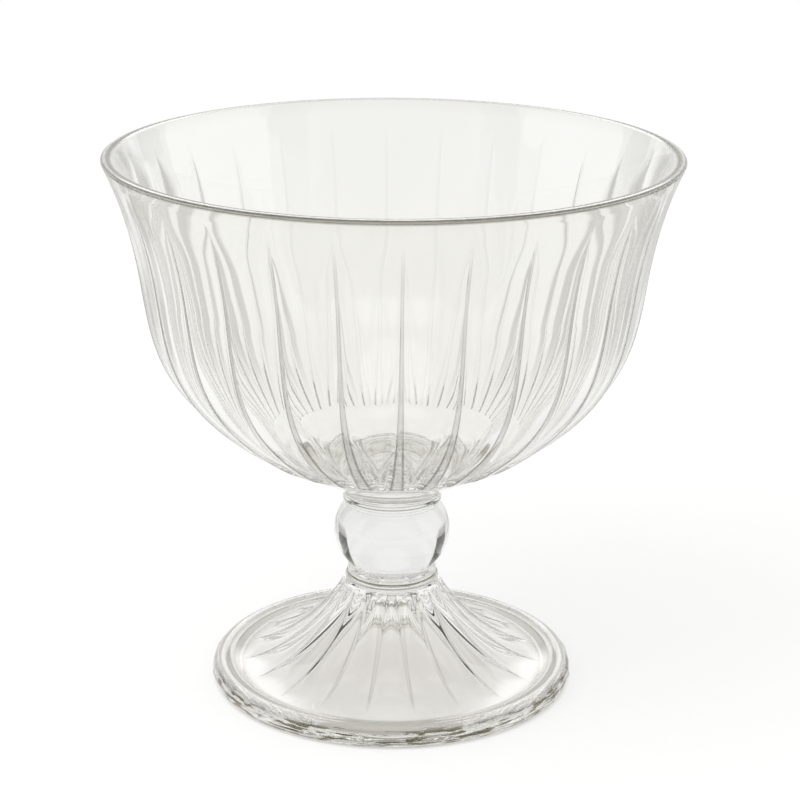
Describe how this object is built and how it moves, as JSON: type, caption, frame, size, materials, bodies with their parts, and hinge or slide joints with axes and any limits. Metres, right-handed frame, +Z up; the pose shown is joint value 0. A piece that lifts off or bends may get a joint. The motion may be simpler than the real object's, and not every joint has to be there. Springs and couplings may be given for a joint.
{
  "type": "footed dessert bowl",
  "caption": "Clear pressed-glass dessert bowl: a fluted cup with a flared lip on a round knop stem and a hollow fluted foot, for serving ice cream or fruit.",
  "frame": {"origin": "centre of the ring that the foot rests on, on the table", "axes": "+Z up along the bowl's axis, -Y towards the viewer"},
  "size_m": [0.115, 0.115, 0.1116],
  "materials": {
    "clear_glass": "fire-polished, glossy"
  },
  "bodies": {
    "root": {"bowl": "clear_glass", "neck_collar": "clear_glass", "knop": "clear_glass", "foot_collar": "clear_glass", "foot": "clear_glass"}
  },
  "joints": []
}
